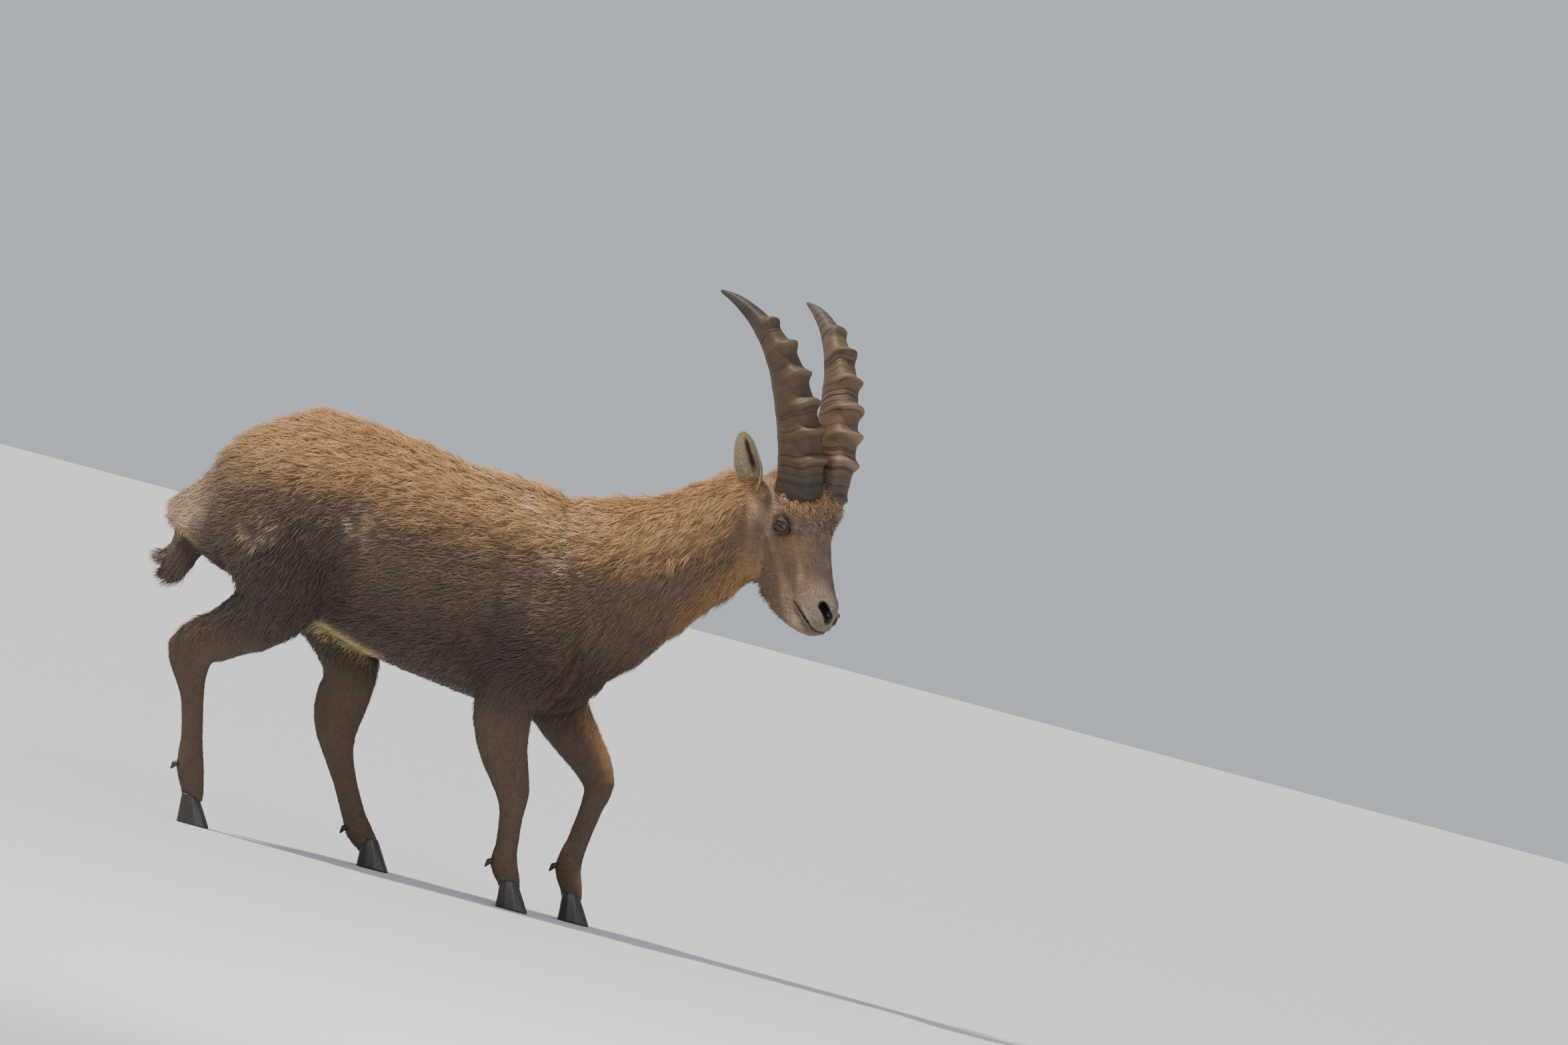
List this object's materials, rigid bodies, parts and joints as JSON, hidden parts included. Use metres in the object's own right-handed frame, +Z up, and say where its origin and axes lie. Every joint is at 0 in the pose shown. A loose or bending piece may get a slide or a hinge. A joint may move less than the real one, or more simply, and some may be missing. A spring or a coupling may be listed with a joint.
{
  "type": "alpine ibex",
  "caption": "Young male alpine ibex walking downhill with its head lowered and turned to its right, a still life-size model with ridged horns that sweep up and back",
  "frame": {"origin": "middle of the box round the whole animal, on the ground under it", "axes": "+X the way the animal walks, +Y its left side, +Z up"},
  "size_m": [1.173, 0.296, 1.1447],
  "materials": {
    "coat": "short dense fur, grey-brown with golden tips on the back",
    "dark_coat": "short dark brown fur of the legs and tail",
    "ear_coat": "grey-brown outside, cream hair inside",
    "horn": "ridged horn sheath, worn smooth at the tip",
    "hoof": "dark hoof horn, slightly polished",
    "eye": "wet amber-brown eye with a level slot pupil"
  },
  "bodies": {
    "root": {"torso": "coat", "neck": "coat", "head": "coat", "tail": "dark_coat", "horn_left": "horn", "ear_left": "ear_coat", "eye_left": "eye", "horn_right": "horn", "ear_right": "ear_coat", "eye_right": "eye", "hind_right_upper": "coat", "hind_right_middle": "dark_coat", "hind_right_cannon": "dark_coat", "hind_right_claw_inner": "hoof", "hind_right_dewclaw_inner": "hoof", "hind_right_claw_outer": "hoof", "hind_right_dewclaw_outer": "hoof", "hind_left_upper": "coat", "hind_left_middle": "dark_coat", "hind_left_cannon": "dark_coat", "hind_left_claw_inner": "hoof", "hind_left_dewclaw_inner": "hoof", "hind_left_claw_outer": "hoof", "hind_left_dewclaw_outer": "hoof", "fore_right_upper": "coat", "fore_right_middle": "dark_coat", "fore_right_cannon": "dark_coat", "fore_right_claw_inner": "hoof", "fore_right_dewclaw_inner": "hoof", "fore_right_claw_outer": "hoof", "fore_right_dewclaw_outer": "hoof", "fore_left_upper": "coat", "fore_left_middle": "dark_coat", "fore_left_cannon": "dark_coat", "fore_left_claw_inner": "hoof", "fore_left_dewclaw_inner": "hoof", "fore_left_claw_outer": "hoof", "fore_left_dewclaw_outer": "hoof"}
  },
  "joints": []
}
